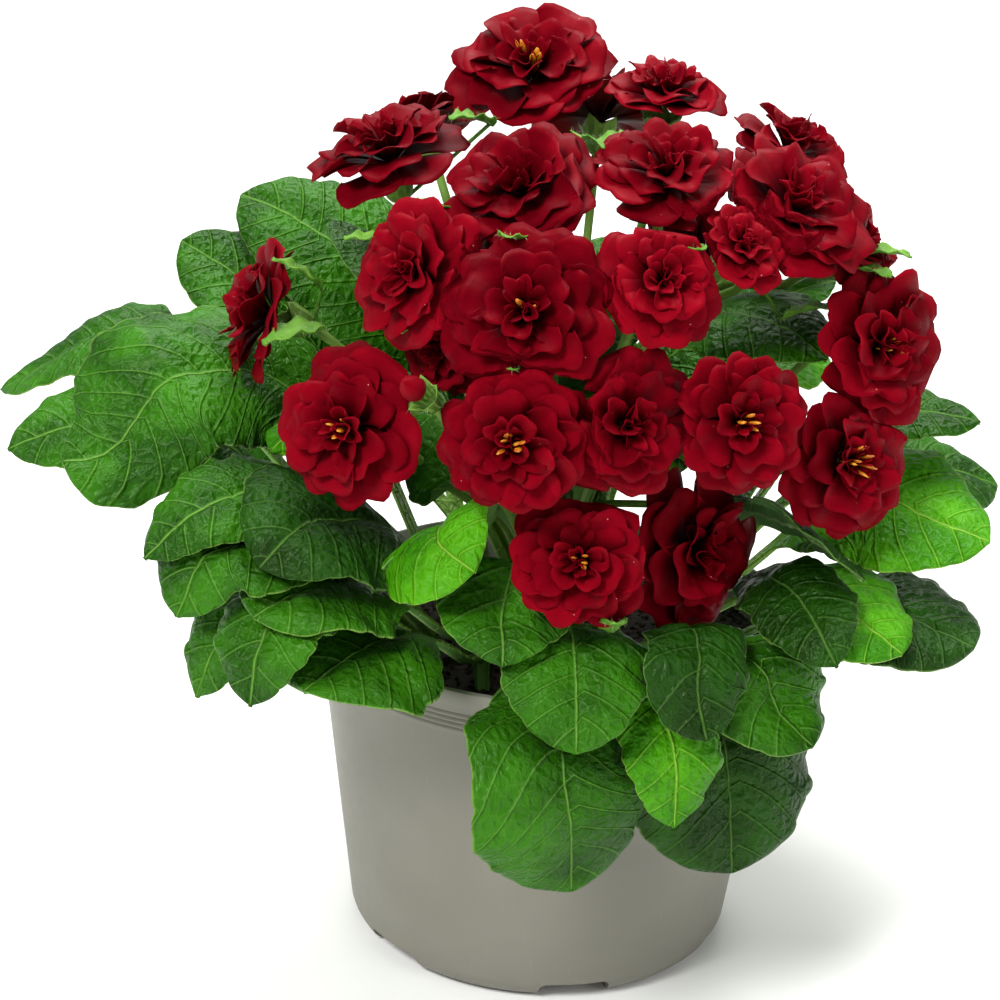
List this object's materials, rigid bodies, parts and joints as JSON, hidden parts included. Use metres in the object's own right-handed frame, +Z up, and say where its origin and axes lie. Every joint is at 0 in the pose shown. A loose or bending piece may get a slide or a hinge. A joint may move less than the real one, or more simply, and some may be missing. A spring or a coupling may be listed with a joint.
{
  "type": "potted flowering plant",
  "caption": "Double-flowered dark red primrose in a plain tapered plastic nursery pot, with a rosette of broad quilted leaves under a dome of ruffled blooms.",
  "frame": {"origin": "centre of the pot's base, on the surface the pot stands on", "axes": "+Z up along the pot's axis, front (the side in the picture) towards -Y, +X to the right in the picture"},
  "size_m": [0.2723, 0.2188, 0.2556],
  "materials": {
    "pot": "satin",
    "growing_medium": "matte",
    "flower_stalk": "satin",
    "petal": "matte",
    "leaf": "satin"
  },
  "bodies": {
    "root": {"pot": "pot", "soil": "growing_medium", "crown": "flower_stalk", "bud_01": "petal", "bloom_01": "petal", "bloom_02": "petal", "bloom_03": "petal", "bloom_04": "petal", "bloom_05": "petal", "bloom_06": "petal", "bloom_07": "petal", "bloom_08": "petal", "bloom_09": "petal", "bloom_10": "petal", "bloom_11": "petal", "bloom_12": "petal", "bloom_13": "petal", "bloom_14": "petal", "bloom_15": "petal", "bloom_16": "petal", "bloom_17": "petal", "bloom_18": "petal", "bloom_19": "petal", "bloom_20": "petal", "bloom_21": "petal", "bloom_22": "petal", "bloom_23": "petal", "bloom_24": "petal", "bloom_25": "petal", "bloom_26": "petal", "leaf_01": "leaf", "leaf_02": "leaf", "leaf_03": "leaf", "leaf_04": "leaf", "leaf_05": "leaf", "leaf_06": "leaf", "leaf_07": "leaf", "leaf_08": "leaf", "leaf_09": "leaf", "leaf_10": "leaf", "leaf_11": "leaf", "leaf_12": "leaf", "leaf_13": "leaf", "leaf_14": "leaf", "leaf_15": "leaf", "leaf_16": "leaf", "leaf_17": "leaf", "leaf_18": "leaf", "leaf_19": "leaf", "leaf_20": "leaf", "leaf_21": "leaf", "leaf_22": "leaf", "leaf_23": "leaf", "leaf_24": "leaf", "leaf_25": "leaf", "leaf_26": "leaf", "leaf_27": "leaf", "leaf_28": "leaf", "leaf_29": "leaf", "leaf_30": "leaf"}
  },
  "joints": []
}
